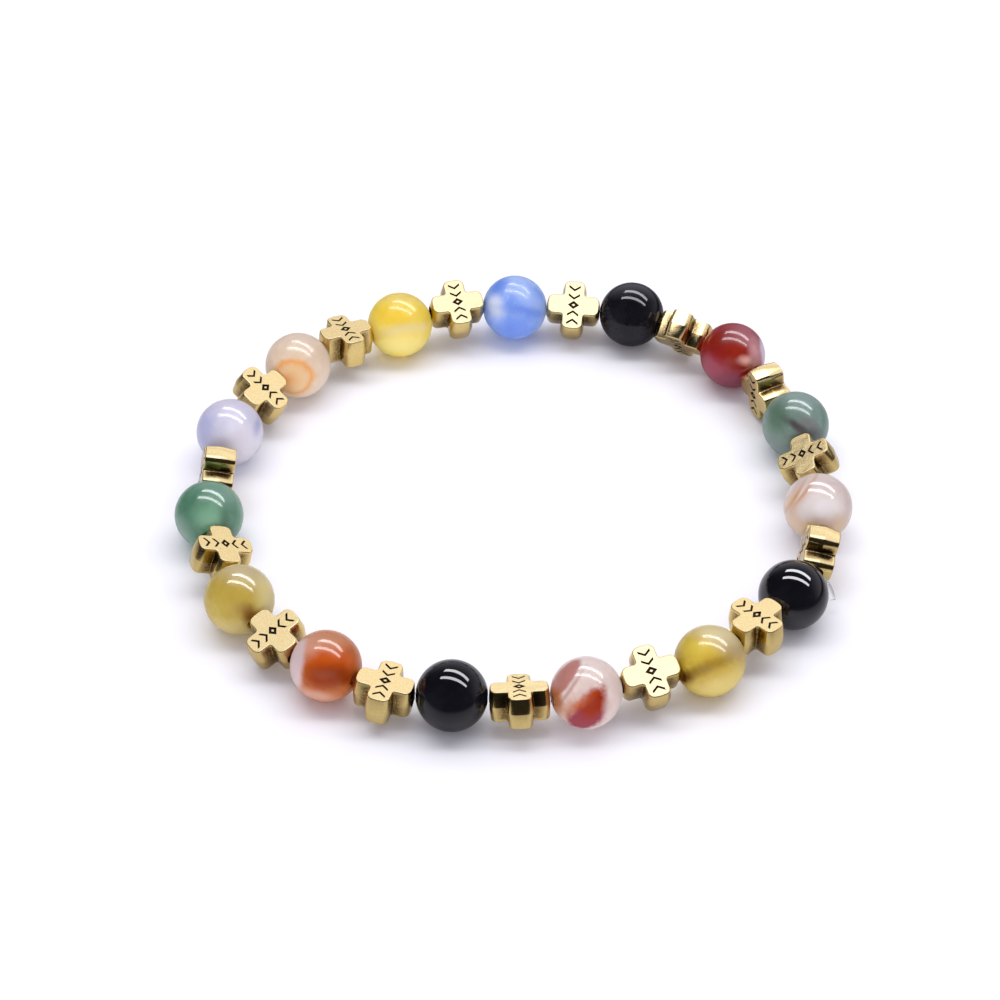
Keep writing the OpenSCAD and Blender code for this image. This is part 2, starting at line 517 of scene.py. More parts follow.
def sweep(bm: Shape, path: list[Vector], radius: float, sides: int, closed: bool) -> None:
    """Extrudes a round section along a path.

    Args:
        bm: an empty mesh, where the tube goes.
        path: the middle of the tube, point by point.
        radius: the tube's radius.
        sides: the flats round it.
        closed: whether its end meets its start.
    """
    count = len(path)
    ways = []
    for i in range(count):
        before = path[i - 1] if closed or i else path[i]
        after = path[(i + 1) % count] if closed or i < count - 1 else path[i]
        ways.append((after - before).normalized())
    towards = ways[0].orthogonal()
    places = []
    for way, point in zip(ways, path):
        places.append(basis(way, towards, point))
        towards = places[-1].col[0].to_3d()
    bmesh.ops.create_circle(bm, cap_ends=False, segments=sides, radius=radius, matrix=places[0])
    start = ring = bm.edges[:]
    for here, there in zip(places, places[1:]):
        grown = bmesh.ops.extrude_edge_only(bm, edges=ring)["geom"]
        verts = verts_in(grown)
        ring = [g for g in grown if isinstance(g, bmesh.types.BMEdge) and all(v in verts for v in g.verts)]
        bmesh.ops.transform(bm, matrix=there @ here.inverted(), verts=verts)
    if closed:
        bmesh.ops.bridge_loops(bm, edges=ring + start)
    else:
        bmesh.ops.holes_fill(bm, edges=ring + start)
    bmesh.ops.recalc_face_normals(bm, faces=bm.faces)


# The string of beads

class Bead(Enum):
    """The beads in their order, clockwise as seen from above, by the CAD nodes' names."""

    BLUE = "bead_blue"
    BLACK_BACK = "bead_black_back"
    RED = "bead_red"
    SEA_GREEN = "bead_sea_green"
    PALE_PINK = "bead_pale_pink"
    BLACK_RIGHT = "bead_black_right"
    OLIVE_RIGHT = "bead_olive_right"
    RED_WHITE = "bead_red_white"
    BLACK_FRONT = "bead_black_front"
    ORANGE = "bead_orange"
    OLIVE_LEFT = "bead_olive_left"
    JADE = "bead_jade"
    LAVENDER = "bead_lavender"
    PEACH = "bead_peach"
    YELLOW = "bead_yellow"


@dataclass(frozen=True)
class Turned:
    """How a cross has turned on the thread, in degrees: round the thread, sideways and upwards."""

    roll: float
    swing: float
    tilt: float


TURNS = tuple(Turned(*turn) for turn in (
    (-29, 0, -2), (56, 4, 2), (85, -4, 4), (-29, -3, -2), (-79, 7, -3), (-2, -3, 1), (19, -1, -4), (-20, 0, -2),
    (-3, 2, 4), (16, -6, 3), (-20, 0, -1), (78, 8, 0), (-26, -4, -4), (5, -6, -4), (-19, 0, -1),
))


@dataclass
class Thread:
    """Where the thread takes each bead and each cross, read from the CAD nodes."""

    cross_span: float = 5.55 * MM
    hole_share: float = 0.6
    centres: list[Vector] = field(init=False)
    crosses: list[Matrix] = field(init=False)

    def __post_init__(self) -> None:
        """Reads the places of the CAD nodes."""
        self.centres = [self.middle(bead.value) for bead in Bead]
        self.crosses = [self.cross_place(k) for k in range(len(TURNS))]

    def middle(self, node: str) -> Vector:
        """Gives the middle of a CAD node's box."""
        low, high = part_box(node)
        return (low + high) / 2

    def cross_place(self, k: int) -> Matrix:
        """Gives the placing of cross k, whose own X goes along the thread.

        Args:
            k: the cross's number from 0.

        Returns:
            The 4 x 4 placing.
        """
        way = self.centres[(k + 1) % len(self.centres)] - self.centres[k]
        turned = TURNS[k]
        heading = math.atan2(way.y, way.x) + math.radians(turned.swing)
        return (
            Matrix.Translation(self.middle(f"cross_{k + 1:02d}"))
            @ Matrix.Rotation(heading, 4, "Z")
            @ Matrix.Rotation(math.radians(-turned.tilt), 4, "Y")
            @ Matrix.Rotation(math.radians(-turned.roll), 4, "X")
        )

    def cross_end(self, k: int, side: int) -> Vector:
        """Gives the mouth of a cross's hole, -1 before it and 1 after it."""
        return self.crosses[k] @ Vector((side * self.cross_span / 2, 0, 0))

    def hole(self, k: int) -> Vector:
        """Gives the direction of a bead's hole."""
        return (self.cross_end(k, -1) - self.cross_end(k - 1, 1)).normalized()


@dataclass
class StoneBead:
    """A drilled and polished stone ball."""

    bead: Bead
    finish: StoneFinish
    diameter: float = 7.0 * MM
    hole: float = 1.3 * MM
    chamfer: float = 0.15 * MM
    arc_steps: int = 40
    round_steps: int = 80
    sharp_from: float = 35.0

    def section(self, bm: Shape) -> None:
        """Draws the half section: the outside arc, the two chamfers and the wall of the hole.

        Args:
            bm: where it goes.
        """
        radius = self.diameter / 2
        mouth = self.hole / 2 + self.chamfer
        rise = math.sqrt(radius ** 2 - mouth ** 2)
        top = bm.verts.new((mouth, 0, rise))
        swept = 2 * math.atan2(rise, mouth)
        bmesh.ops.spin(bm, geom=[top], cent=(0, 0, 0), axis=Y_AXIS, angle=swept, steps=self.arc_steps)
        bm.verts.ensure_lookup_table()
        tip = max(bm.verts, key=lambda v: v.co.z)
        foot = min(bm.verts, key=lambda v: v.co.z)
        inner = []
        for rim, down in ((tip, -1), (foot, 1)):
            edge = bmesh.ops.extrude_vert_indiv(bm, verts=[rim])["verts"][0]
            bmesh.ops.translate(bm, verts=[edge], vec=(-self.chamfer, 0, down * self.chamfer))
            inner.append(edge)
        bmesh.ops.contextual_create(bm, geom=inner)

    def build(self, thread: Thread, number: int, material: Material) -> Piece:
        """Spins the section round the hole and puts the bead in its place.

        Args:
            thread: where the beads are.
            number: the bead's number from 0.
            material: the stone.

        Returns:
            The bead.
        """
        bm = bmesh.new()
        self.section(bm)
        bmesh.ops.spin(
            bm, geom=bm.verts[:] + bm.edges[:], cent=(0, 0, 0), axis=Z_AXIS,
            angle=FULL_TURN, steps=self.round_steps, use_merge=True,
        )
        bmesh.ops.remove_doubles(bm, verts=bm.verts, dist=MERGE)
        bmesh.ops.recalc_face_normals(bm, faces=bm.faces)
        place = basis(thread.hole(number), Z_AXIS, thread.centres[number])
        bmesh.ops.transform(bm, matrix=place, verts=bm.verts)
        piece = new_piece(f"stone_{self.bead.value}", bm, [material])
        shade(piece.data, self.sharp_from)
        return piece


@dataclass
class GoldCross:
    """A cast cross bead: rounded arms, drafted walls, eased rims, a hole and cut marks."""

    span: float = 6.0 * MM
    bar: float = 2.6 * MM
    thick: float = 3.2 * MM
    tip_radius: float = 4.4 * MM
    corner: float = 0.68 * MM
    fillet: float = 0.1 * MM
    draft: float = 0.18 * MM
    rim: float = 0.13 * MM
    ridge: float = 0.05 * MM
    lip: float = 0.03 * MM
    hole: float = 1.5 * MM
    mark_pitch: float = 0.98 * MM
    mark_high: float = 1.26 * MM
    mark_wide: float = 0.72 * MM
    lozenge_wide: float = 0.96 * MM
    mark_line: float = 0.27 * MM
    mark_depth: float = 0.2 * MM
    fillet_steps: int = 4
    corner_steps: int = 6
    rim_steps: int = 4
    ridge_steps: int = 2
    bore_sides: int = 32
    tip_cuts: int = 5
    sharp_from: float = 30.0
    template: bpy.types.Mesh = field(init=False)

    def outline(self, bm: Shape) -> bmesh.types.BMFace:
        """Grows the cross from a square and rounds its corners and the tips of its arms.

        Args:
            bm: an empty mesh, where it goes.

        Returns:
            The one face inside the outline.
        """
        half_bar = self.bar / 2
        grow = self.span / 2 - half_bar
        bmesh.ops.create_grid(bm, x_segments=1, y_segments=1, size=half_bar)
        for side in bm.edges[:]:
            out = (side.verts[0].co + side.verts[1].co).normalized()
            grown = bmesh.ops.extrude_edge_only(bm, edges=[side])["geom"]
            bmesh.ops.translate(bm, verts=verts_in(grown), vec=out * grow)
        bmesh.ops.recalc_face_normals(bm, faces=bm.faces)
        bmesh.ops.dissolve_faces(bm, faces=bm.faces[:])
        inner = [v for v in bm.verts if v.co.length < self.bar]
        outer = [v for v in bm.verts if v.co.length >= self.bar]
        ease(bm, inner, self.fillet, "VERTICES", self.fillet_steps)
        ease(bm, outer, self.corner, "VERTICES", self.corner_steps)
        tip = self.span / 2 - MERGE
        tips = [e for e in bm.edges if all(max(abs(v.co.x), abs(v.co.y)) > tip for v in e.verts)]
        bmesh.ops.subdivide_edges(bm, edges=tips, cuts=self.tip_cuts)
        for vert in bm.verts:
            lengthwise = abs(vert.co.x) > abs(vert.co.y)
            aside, reach = sorted((abs(vert.co.x), abs(vert.co.y)))
            if reach > half_bar + self.fillet + MERGE:
                drop = self.tip_radius - math.sqrt(self.tip_radius ** 2 - aside ** 2)
                share = (reach - half_bar) / grow
                out = (vert.co * (X_AXIS if lengthwise else Y_AXIS)).normalized()
                bmesh.ops.translate(bm, verts=[vert], vec=-out * drop * share)
        bm.faces.ensure_lookup_table()
        return bm.faces[0]

    def half(self, bm: Shape) -> None:
        """Raises the upper half from the middle: a drafted wall, an eased rim and a flat face.

        Args:
            bm: where it goes.
        """
        face = self.outline(bm)
        if face.normal.z < 0:
            bmesh.ops.reverse_faces(bm, faces=[face])
        bmesh.ops.inset_region(bm, faces=[face], thickness=self.draft, use_boundary=True, use_even_offset=True)
        bmesh.ops.translate(bm, verts=face.verts[:], vec=(0, 0, self.thick / 2))
        ease(bm, face.edges[:], self.rim, "EDGES", self.rim_steps)
        top = max(bm.faces, key=lambda f: f.calc_area())
        bmesh.ops.inset_region(bm, faces=[top], thickness=self.lip, use_even_offset=True)

    def body(self) -> Shape:
        """Makes the whole cross without its hole and marks.

        Returns:
            Its mesh, round the origin.
        """
        bm = bmesh.new()
        self.half(bm)
        bmesh.ops.mirror(bm, geom=bm.verts[:] + bm.edges[:] + bm.faces[:], axis="Z", merge_dist=MERGE)
        bmesh.ops.remove_doubles(bm, verts=bm.verts, dist=MERGE)
        bmesh.ops.recalc_face_normals(bm, faces=bm.faces)
        ridge = [e for e in bm.edges if all(abs(v.co.z) < MERGE for v in e.verts)]
        ease(bm, ridge, self.ridge, "EDGES", self.ridge_steps)
        return bm

    def marks(self) -> Shape:
        """Makes the cutter of the marks: a lozenge and two chevrons on each side of it, on both faces.

        Returns:
            The cutter's mesh.
        """
        bm = bmesh.new()
        ring = bmesh.ops.create_circle(bm, cap_ends=True, segments=4, radius=0.5)
        bmesh.ops.scale(bm, verts=ring["verts"], vec=(self.mark_high, self.lozenge_wide, 1))
        whole = bm.faces[:]
        bmesh.ops.inset_region(bm, faces=whole, thickness=self.mark_line, use_boundary=True, use_even_offset=True)
        bmesh.ops.delete(bm, geom=whole, context="FACES")
        for side in (-1, 1):
            for place in (1, 2):
                strip = bmesh.ops.create_grid(bm, x_segments=2, y_segments=1, size=0.5)["verts"]
                bmesh.ops.scale(bm, verts=strip, vec=(self.mark_high, self.mark_line, 1))
                bent = self.mark_wide - self.mark_line
                ends = [v for v in strip if abs(v.co.x) > MERGE]
                bmesh.ops.translate(bm, verts=strip, vec=(0, side * (place * self.mark_pitch - bent / 2), 0))
                bmesh.ops.translate(bm, verts=ends, vec=(0, side * bent, 0))
        floor = bmesh.ops.extrude_face_region(bm, geom=bm.faces[:])["geom"]
        bmesh.ops.translate(bm, verts=verts_in(floor), vec=(0, 0, 4 * self.mark_depth))
        bmesh.ops.translate(bm, verts=bm.verts, vec=(0, 0, self.thick / 2 - self.mark_depth))
        bmesh.ops.recalc_face_normals(bm, faces=bm.faces)
        under = bmesh.ops.duplicate(bm, geom=bm.verts[:] + bm.edges[:] + bm.faces[:])["geom"]
        bmesh.ops.rotate(bm, verts=verts_in(under), cent=(0, 0, 0), matrix=Matrix.Rotation(math.pi, 3, "X"))
        return bm

    def cast(self, gold: Material, patina: Material) -> None:
        """Cuts the hole and the marks, and keeps the result for every cross.

        Args:
            gold: the plated surface.
            patina: what lies in the cuts.
        """
        body = new_piece("cross casting", self.body(), [gold])
        bore = bmesh.new()
        bmesh.ops.create_cone(
            bore, cap_ends=True, segments=self.bore_sides, radius1=self.hole / 2, radius2=self.hole / 2,
            depth=2 * self.span, matrix=Matrix.Rotation(math.pi / 2, 4, "Y"),
        )
        cutters = [new_piece("hole cutter", bore, [patina]), new_piece("mark cutter", self.marks(), [patina])]
        for cutter in cutters:
            cut = body.modifiers.new(cutter.name, "BOOLEAN")
            cut.object, cut.operation, cut.solver, cut.material_mode = cutter, "DIFFERENCE", "MANIFOLD", "TRANSFER"
        evaluated = body.evaluated_get(bpy.context.evaluated_depsgraph_get())
        self.template = bpy.data.meshes.new_from_object(evaluated)
        local = self.template.attributes.new("casting", "FLOAT_VECTOR", "POINT")
        for vert in self.template.vertices:
            local.data[vert.index].vector = vert.co
        shade(self.template, self.sharp_from)
        for used in [body] + cutters:
            bpy.data.objects.remove(used)

    def build(self, thread: Thread, number: int) -> Piece:
        """Puts one cross on the thread.

        Args:
            thread: where the crosses are.
            number: the cross's number from 0.

        Returns:
            The cross.
        """
        mesh = self.template.copy()
        mesh.transform(thread.crosses[number])
        return add_object(f"gold_cross_{number + 1:02d}", mesh)


@dataclass
class Elastic:
    """The clear elastic: a closed ring through every hole, its knot and the trimmed tail."""

    diameter: float = 0.5 * MM
    bead_radius: float = 3.5 * MM
    bend: float = 0.04
    knot_after: int = 4
    knot_gap: float = 0.1 * MM
    knot_size: float = 0.46 * MM
    knot_strand: float = 0.11 * MM
    knot_steps: int = 48
    sides: int = 16
    between_points: int = 4
    sharp_from: float = 50.0
    tail: tuple[Triple, ...] = (
        (0.0, 0.0, 0.0), (0.9, 0.0, -0.1), (1.9, 0.75, -0.5), (2.45, 1.35, -1.45),
    )

    def path(self, thread: Thread) -> list[Vector]:
        """Gives the middle of the ring, two points in each bead.

        Args:
            thread: where the beads and crosses are.

        Returns:
            The points in order.
        """
        points = []
        for k, centre in enumerate(thread.centres):
            hole = thread.hole(k)
            before, after = thread.cross_end(k - 1, 1), thread.cross_end(k, -1)
            points.append(before.lerp(centre - hole * self.bead_radius, thread.hole_share))
            points.append(after.lerp(centre + hole * self.bead_radius, thread.hole_share))
        return points

    def smooth(self, points: list[Vector]) -> list[Vector]:
        """Rounds the bends of the ring by cutting the corners of its path.

        Args:
            points: the closed path.

        Returns:
            The path with more points.
        """
        result = []
        count = len(points)
        for i, here in enumerate(points):
            for share in (-self.bend, 0.0, self.bend):
                other = points[(i + (1 if share > 0 else -1)) % count]
                result.append(here.lerp(other, abs(share)))
        return result

    def knot_path(self) -> list[Vector]:
        """Gives the middle line of a small overhand knot round the origin.

        Returns:
            The points in order.
        """
        path = []
        for i in range(self.knot_steps):
            a = FULL_TURN * i / self.knot_steps
            path.append(Vector((
                math.sin(a) + 2 * math.sin(2 * a), math.cos(a) - 2 * math.cos(2 * a), -math.sin(3 * a),
            )) * self.knot_size / 6)
        return path

    def build(self, thread: Thread, material: Material) -> list[Piece]:
        """Makes the ring, the knot and the tail.

        Args:
            thread: where the beads and crosses are.
            material: the clear elastic.

        Returns:
            The three pieces.
        """
        ring = self.path(thread)
        along = (thread.centres[self.knot_after + 1] - thread.centres[self.knot_after]).normalized()
        knot_at = ring[2 * (self.knot_after + 1)] + along * self.knot_gap
        outwards = Z_AXIS.cross(along)
        loose = [
            knot_at + outwards * out * MM + along * ahead * MM + Z_AXIS * up * MM for out, ahead, up in self.tail
        ]
        pieces = []
        for name, path, radius, closed, place in (
            ("elastic_ring", self.smooth(ring), self.diameter / 2, True, None),
            ("elastic_knot", self.knot_path(), self.knot_strand, True, basis(along, outwards, knot_at)),
            ("elastic_tail", self.curve(loose), self.diameter / 2, False, None),
        ):
            bm = bmesh.new()
            sweep(bm, path, radius, self.sides, closed)
            if place is not None:
                bmesh.ops.transform(bm, matrix=place, verts=bm.verts)
            piece = new_piece(name, bm, [material])
            shade(piece.data, self.sharp_from)
            pieces.append(piece)
        return pieces

    def curve(self, points: list[Vector]) -> list[Vector]:
        """Gives a smooth line through the tail's points.

        Args:
            points: the points it passes.

        Returns:
            The line with more points.
        """
        line = []
        padded = [points[0]] + points + [points[-1]]
        for a, b, c, d in zip(padded, padded[1:], padded[2:], padded[3:]):
            for i in range(self.between_points):
                t = i / self.between_points
                line.append(0.5 * (
                    2 * b + (c - a) * t + (2 * a - 5 * b + 4 * c - d) * t ** 2 + (3 * b - a - 3 * c + d) * t ** 3
                ))
        return line + [points[-1]]


# Materials

STONES: dict[Bead, StoneFinish] = {
    Bead.BLUE: StoneFinish("cornflower chalcedony", "stone_blue", "aec6f2", "80a2e6", polish=0.19, blur=0.055, patches=(
        Patch(-0.58, 0.0, 0.2, 0.4, "e8ecf4", 0.95, turn=14, ragged=0.6),
        Patch(0.1, 0.36, 0.6, 0.16, "a8bce8", 0.5, 1.0, turn=-24, ragged=0.8),
        Patch(-0.5, 0.62, 0.34, 0.2, "5c88e0", 0.85, 0.7, turn=40, ragged=0.5),
        Patch(0.42, 0.2, 0.6, 0.2, "aac2f0", 0.8, 1.0, turn=-34, ragged=0.8),
        Patch(0.3, -0.16, 0.7, 0.12, "6c92e4", 0.7, turn=-8, ragged=0.5),
        Patch(0.0, -0.72, 0.8, 0.36, "688ade", 0.85, 0.7),
    )),
    Bead.BLACK_BACK: StoneFinish(
        # The grey patch at the top is a painted reflection: the haze that the room leaves in the black polish.
        "black onyx", "stone_black", "19181d", "0f0e12", (Patch(0.0, 0.86, 0.9, 0.3, "3a3a40", 1.0, 1.0),),
        clear=0.0, body=0.0, polish=0.46, blur=0.07, pool=0.0,
    ),
    Bead.RED: StoneFinish("crimson agate", "stone_red", "9a2226", "82171e", polish=0.38, blur=0.06, patches=(
        Patch(0.02, 0.0, 0.5, 0.42, "9e2202", 0.9, 0.7),
        Patch(-0.66, 0.38, 0.4, 0.34, "94220e", 0.9, 0.7),
        Patch(0.5, 0.62, 0.55, 0.34, "a8646f", 0.8, 0.7, turn=-35),
        Patch(-0.62, -0.45, 0.46, 0.34, "9c4458", 0.9, 0.6, turn=-40),
        Patch(0.0, -0.85, 0.7, 0.3, "803a50", 0.9, 0.6),
        Patch(0.34, -0.2, 0.2, 0.12, "ecbcb0", 1.0, 1.0, ragged=0.5),
        Patch(0.64, 0.02, 0.18, 0.36, "d8a6aa", 0.9, turn=10, ragged=0.5),
        Patch(0.92, 0.08, 0.12, 0.42, "dccbdc", 1.0, 0.5, turn=6),
    )),
    Bead.SEA_GREEN: StoneFinish("sea green agate", "stone_sea_green", "8ea59e", "728c80", polish=0.45, patches=(
        Patch(-0.6, 0.1, 0.36, 0.6, "56745a", 0.8, 0.8),
        Patch(0.3, -0.02, 0.36, 0.2, "827c7e", 0.8, 0.8, turn=-30, ragged=0.4),
        Patch(0.02, -0.14, 0.5, 0.13, "50444a", 0.95, 0.6, turn=-38, ragged=0.5),
        Patch(0.35, -0.4, 0.5, 0.2, "707274", 0.7, 0.8),
        Patch(-0.6, -0.6, 0.5, 0.3, "80908a", 0.8, 0.7),
    )),
    Bead.PALE_PINK: StoneFinish("pale pink agate", "stone_pale_pink", "ece2de", "dfd2cc", polish=0.56, patches=(
        Patch(-0.6, 0.42, 0.2, 0.6, "d0b094", 0.7, turn=-38),
        Patch(-0.56, 0.46, 0.09, 0.42, "e8ddd4", 1.0, 0.7, turn=-38),
        Patch(-0.36, 0.56, 0.045, 0.5, "cf8a4c", 1.0, 0.8, turn=-38, ragged=0.2),
        Patch(-0.72, 0.3, 0.045, 0.5, "d29a62", 1.0, 0.8, turn=-32, ragged=0.2),
        Patch(-0.8, -0.15, 0.18, 0.5, "d8b28e", 0.6, turn=12),
        Patch(0.0, -0.62, 0.85, 0.26, "e6c6a0", 0.8, 0.8),
        Patch(0.05, 0.0, 0.4, 0.36, "ece8ea"),
        Patch(0.2, 0.62, 0.7, 0.3, "d2bfb8"),
        Patch(0.66, -0.5, 0.34, 0.3, "d0b084", 0.7),
        Patch(0.84, 0.1, 0.24, 0.5, "c8b6ae", 0.7),
        Patch(-0.5, -0.6, 0.4, 0.2, "f0d2ae", turn=-30, ragged=0.4),
    )),
    Bead.BLACK_RIGHT: StoneFinish(
        "black onyx", "stone_black", "141419", "0b0b10", clear=0.0, body=0.0, polish=1.0, pool=0.0,
    ),
    Bead.OLIVE_RIGHT: StoneFinish("olive agate", "stone_olive", "d0b848", "be9c2c", polish=0.42, patches=(
        Patch(-0.3, 0.42, 0.6, 0.3, "e6cc52", 0.85, 0.8),
        Patch(0.6, 0.5, 0.6, 0.5, "b8a47c", 0.85, 0.7, turn=-40),
        Patch(0.1, 0.8, 0.6, 0.24, "eadcac", 0.85, turn=-10),
        Patch(-0.28, -0.18, 0.7, 0.15, "8e6a1c", 0.75, turn=20, ragged=0.5),
        Patch(-0.72, -0.46, 0.32, 0.18, "6c4014", 0.9, 0.7, turn=24, ragged=0.5),
        # Painted glow: this paler lower patch stands in for light that passes through the stone.
        Patch(0.3, -0.62, 0.85, 0.36, "e0cc7c", 0.85, 0.7, turn=20),
    )),
    Bead.RED_WHITE: StoneFinish("red and white agate", "stone_red_white", "eadad2", "d8c4bc", patches=(
        Patch(-0.64, 0.42, 0.23, 0.72, "b4746a", 0.95, 0.2, turn=-38, ragged=0.2),
        Patch(-0.84, -0.2, 0.2, 0.3, "b06424", 0.9, 0.6, ragged=0.4),
        Patch(-0.44, 0.16, 0.045, 0.6, "a87468", 0.6, 0.8, turn=-34, ragged=0.4),
        Patch(-0.42, -0.42, 0.42, 0.28, "c07c54", 0.85, turn=34, ragged=0.4),
        Patch(0.0, -0.62, 0.72, 0.38, "8c2a3a", 1.0, 0.28, turn=36, ragged=0.35),
        Patch(0.18, -0.22, 0.32, 0.46, "942000", 1.0, 0.4, turn=-24, ragged=0.5),
        Patch(-0.08, -0.16, 0.44, 0.12, "b84800", 0.75, 0.8, turn=38, ragged=0.6),
        Patch(0.72, -0.35, 0.26, 0.5, "dccac2", 0.8, 0.6),
    ), clear=0.3, polish=0.4),
    Bead.BLACK_FRONT: StoneFinish(
        "black onyx", "stone_black", "141419", "0b0b10", clear=0.0, body=0.0, polish=0.75, pool=0.0,
    ),
    Bead.ORANGE: StoneFinish("orange agate", "stone_orange", "c87840", "b86024", polish=0.44, pool=0.4, patches=(
        Patch(0.15, 0.1, 0.75, 0.42, "c85400", 1.0, 0.7, ragged=0.2),
        Patch(0.15, -0.25, 0.75, 0.34, "943600", 1.0, 0.6, ragged=0.2),
        Patch(0.1, 0.78, 0.7, 0.24, "cc8c68", 0.8, 0.7),
        Patch(-0.5, 0.56, 0.34, 0.3, "d8a890", 0.8, 0.8, turn=30, ragged=0.3),
        Patch(-0.88, 0.14, 0.42, 0.86, "dcc8c8", 1.0, 0.26, turn=-4, ragged=0.2),
        Patch(-0.25, -0.8, 0.6, 0.14, "d4a894", 0.85, turn=-14, ragged=0.5),
    )),
    Bead.OLIVE_LEFT: StoneFinish("olive agate", "stone_olive", "ccb860", "bea448", polish=0.6, patches=(
        Patch(0.3, 0.75, 0.85, 0.34, "cdbd96", 0.8, 0.8, turn=-10),
        Patch(-0.1, 0.1, 0.6, 0.4, "c0a644", 0.7),
        Patch(0.3, -0.3, 0.3, 0.2, "96701c", 0.9, turn=-20, ragged=0.4),
        Patch(0.36, -0.55, 0.16, 0.34, "7a4e12", 0.9, 0.8, turn=8, ragged=0.5),
        Patch(0.8, 0.16, 0.26, 0.6, "e4d494", 0.85, 0.8),
        # Painted glow: this paler lower patch stands in for light that passes through the stone.
        Patch(-0.3, -0.85, 0.8, 0.3, "ccb87a", 0.8, 0.7),
    )),
    Bead.JADE: StoneFinish("jade agate", "stone_jade", "74a088", "54866a", polish=0.54, patches=(
        Patch(-0.45, 0.15, 0.3, 0.5, "4c7a60", 0.7),
        Patch(0.12, -0.12, 0.42, 0.4, "8cbc9c", 0.95, turn=-30),
        Patch(0.55, -0.1, 0.14, 0.5, "5c7c6a", 0.7),
        Patch(0.6, 0.55, 0.34, 0.26, "84aa98", 0.7, turn=-40),
        Patch(-0.75, -0.45, 0.3, 0.4, "8ca498", 0.7, 0.8, turn=20),
    )),
    Bead.LAVENDER: StoneFinish("lavender chalcedony", "stone_lavender", "dedae6", "cdccde", polish=0.52, patches=(
        Patch(-0.7, 0.1, 0.34, 0.75, "b2b5da", 0.85, 0.8),
        Patch(0.84, 0.14, 0.09, 0.3, "9ca2cc", 0.9, turn=-14),
        Patch(0.5, -0.4, 0.4, 0.4, "f0eaf0"),
        Patch(0.25, 0.0, 0.4, 0.5, "ebe6ee", 0.7),
        Patch(0.1, 0.7, 0.7, 0.26, "d8d4e8"),
    )),
    Bead.PEACH: StoneFinish("peach agate", "stone_peach", "ecdac6", "e0cab0", polish=0.32, blur=0.055, patches=(
        Patch(-0.1, -0.4, 0.56, 0.5, "f0c88c", 0.8, 0.5),
        Patch(-0.22, -0.5, 0.24, 0.2, "ecb070", ragged=0.4),
        Patch(-0.1, -0.4, 0.56, 0.52, "eea450", 1.0, 0.22, ragged=0.2, wall=0.12),
        Patch(0.2, 0.75, 0.6, 0.25, "dcc8b4", 0.7, 0.8),
    )),
    Bead.YELLOW: StoneFinish("yellow agate", "stone_yellow", "f4e068", "ecd04c", polish=0.26, blur=0.06, patches=(
        Patch(-0.3, 0.3, 0.5, 0.3, "f2cc3c"),
        Patch(0.2, 0.82, 0.9, 0.2, "ecd074", 0.7, 0.8),
        Patch(0.1, -0.2, 0.95, 0.15, "ecdca4", 0.85, turn=8, ragged=0.5),
        # Painted glow: this paler lower patch stands in for light that passes through the stone.
        Patch(0.0, -0.65, 0.85, 0.3, "f8e694", 0.9, 0.8),
        Patch(-0.8, -0.3, 0.2, 0.4, "f2d86c"),
    )),
}


